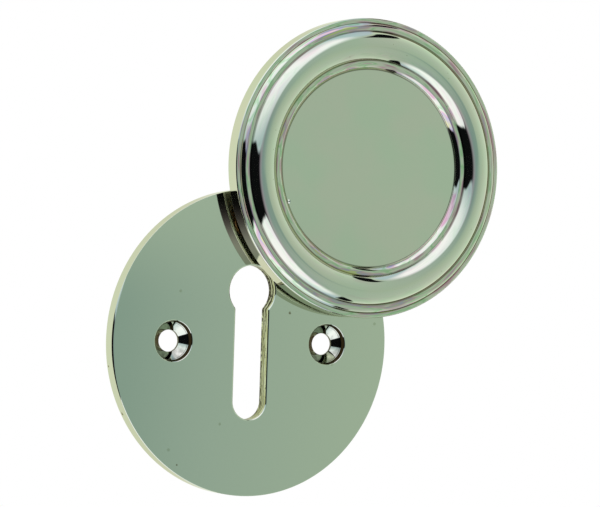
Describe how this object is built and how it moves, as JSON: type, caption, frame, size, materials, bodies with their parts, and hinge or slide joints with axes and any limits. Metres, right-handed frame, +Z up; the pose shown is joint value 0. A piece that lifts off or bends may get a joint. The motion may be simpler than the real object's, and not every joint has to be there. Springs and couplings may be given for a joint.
{
  "type": "keyhole escutcheon with swing cover",
  "caption": "Round keyhole escutcheon: a flat plate with a keyhole and countersunk screw holes, under a ring-moulded cover that swings aside on a pin.",
  "frame": {"origin": "centre of the back plate's back face, midway between the two screw holes", "axes": "+Z up the door, +X to the right seen from the front, the front faces -Y and +Y points into the door"},
  "size_m": [0.0616, 0.0075, 0.071],
  "materials": {
    "nickel_plated_brass": "mirror-polished nickel plate on brass",
    "turned_brass": "turned brass, peened at one end",
    "phosphor_bronze": "rolled spring strip"
  },
  "bodies": {
    "plate": {"back_plate": "nickel_plated_brass"},
    "cover": {"swing_cover": "nickel_plated_brass", "pivot_pin": "turned_brass", "spring_washer": "phosphor_bronze"}
  },
  "joints": [
    {"name": "cover_swing", "type": "hinge", "parent": "plate", "child": "cover", "pos_m": [0, 0, 0.0186], "axis": [0, -1, 0], "continuous": true}
  ]
}
